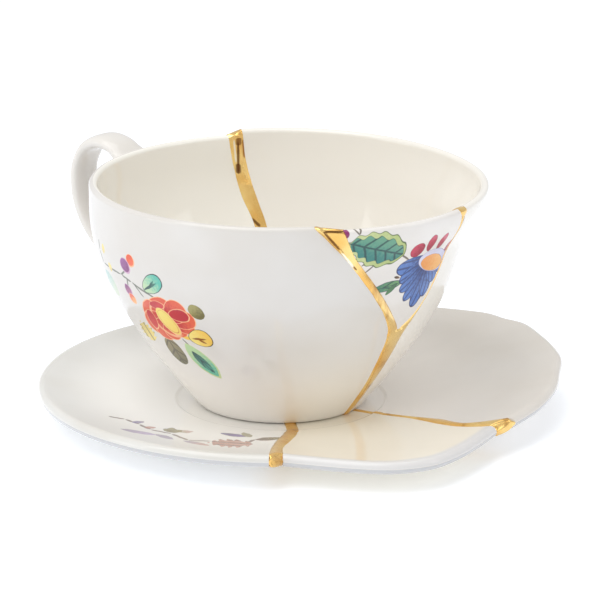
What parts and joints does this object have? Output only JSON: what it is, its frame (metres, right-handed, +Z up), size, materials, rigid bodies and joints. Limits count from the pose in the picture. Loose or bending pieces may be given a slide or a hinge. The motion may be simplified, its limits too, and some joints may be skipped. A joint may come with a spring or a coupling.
{
  "type": "kintsugi cup and saucer",
  "caption": "Footed porcelain cup with a strap handle standing in its deep-lipped saucer, both joined from mismatched broken shards with gold seams.",
  "frame": {"origin": "on the table, under the middle of the set's outline seen from above", "axes": "+Z up, +X to the right and -Y towards the viewer of the painted front; the cup's handle points to the left and back"},
  "size_m": [0.1724, 0.1642, 0.0839],
  "materials": {
    "cup_white_glaze": "glossy white glaze with painted flowers",
    "cup_painted_glaze": "glossy white glaze with painted flowers",
    "cup_warm_glaze": "glossy warm white glaze",
    "saucer_painted_glaze": "glossy off-white glaze with a painted sprig",
    "saucer_cream_glaze": "glossy cream glaze with a white lip",
    "saucer_grey_glaze": "glossy warm grey-white glaze",
    "gold": "glossy gold lacquer, smooth as poured"
  },
  "bodies": {
    "root": {"cup_main_shard": "cup_white_glaze", "cup_flower_shard": "cup_painted_glaze", "cup_flared_shard": "cup_warm_glaze", "cup_gold_seam": "gold", "saucer_left_shard": "saucer_painted_glaze", "saucer_front_shard": "saucer_cream_glaze", "saucer_lobed_shard": "saucer_grey_glaze", "saucer_gold_seam": "gold"}
  },
  "joints": []
}
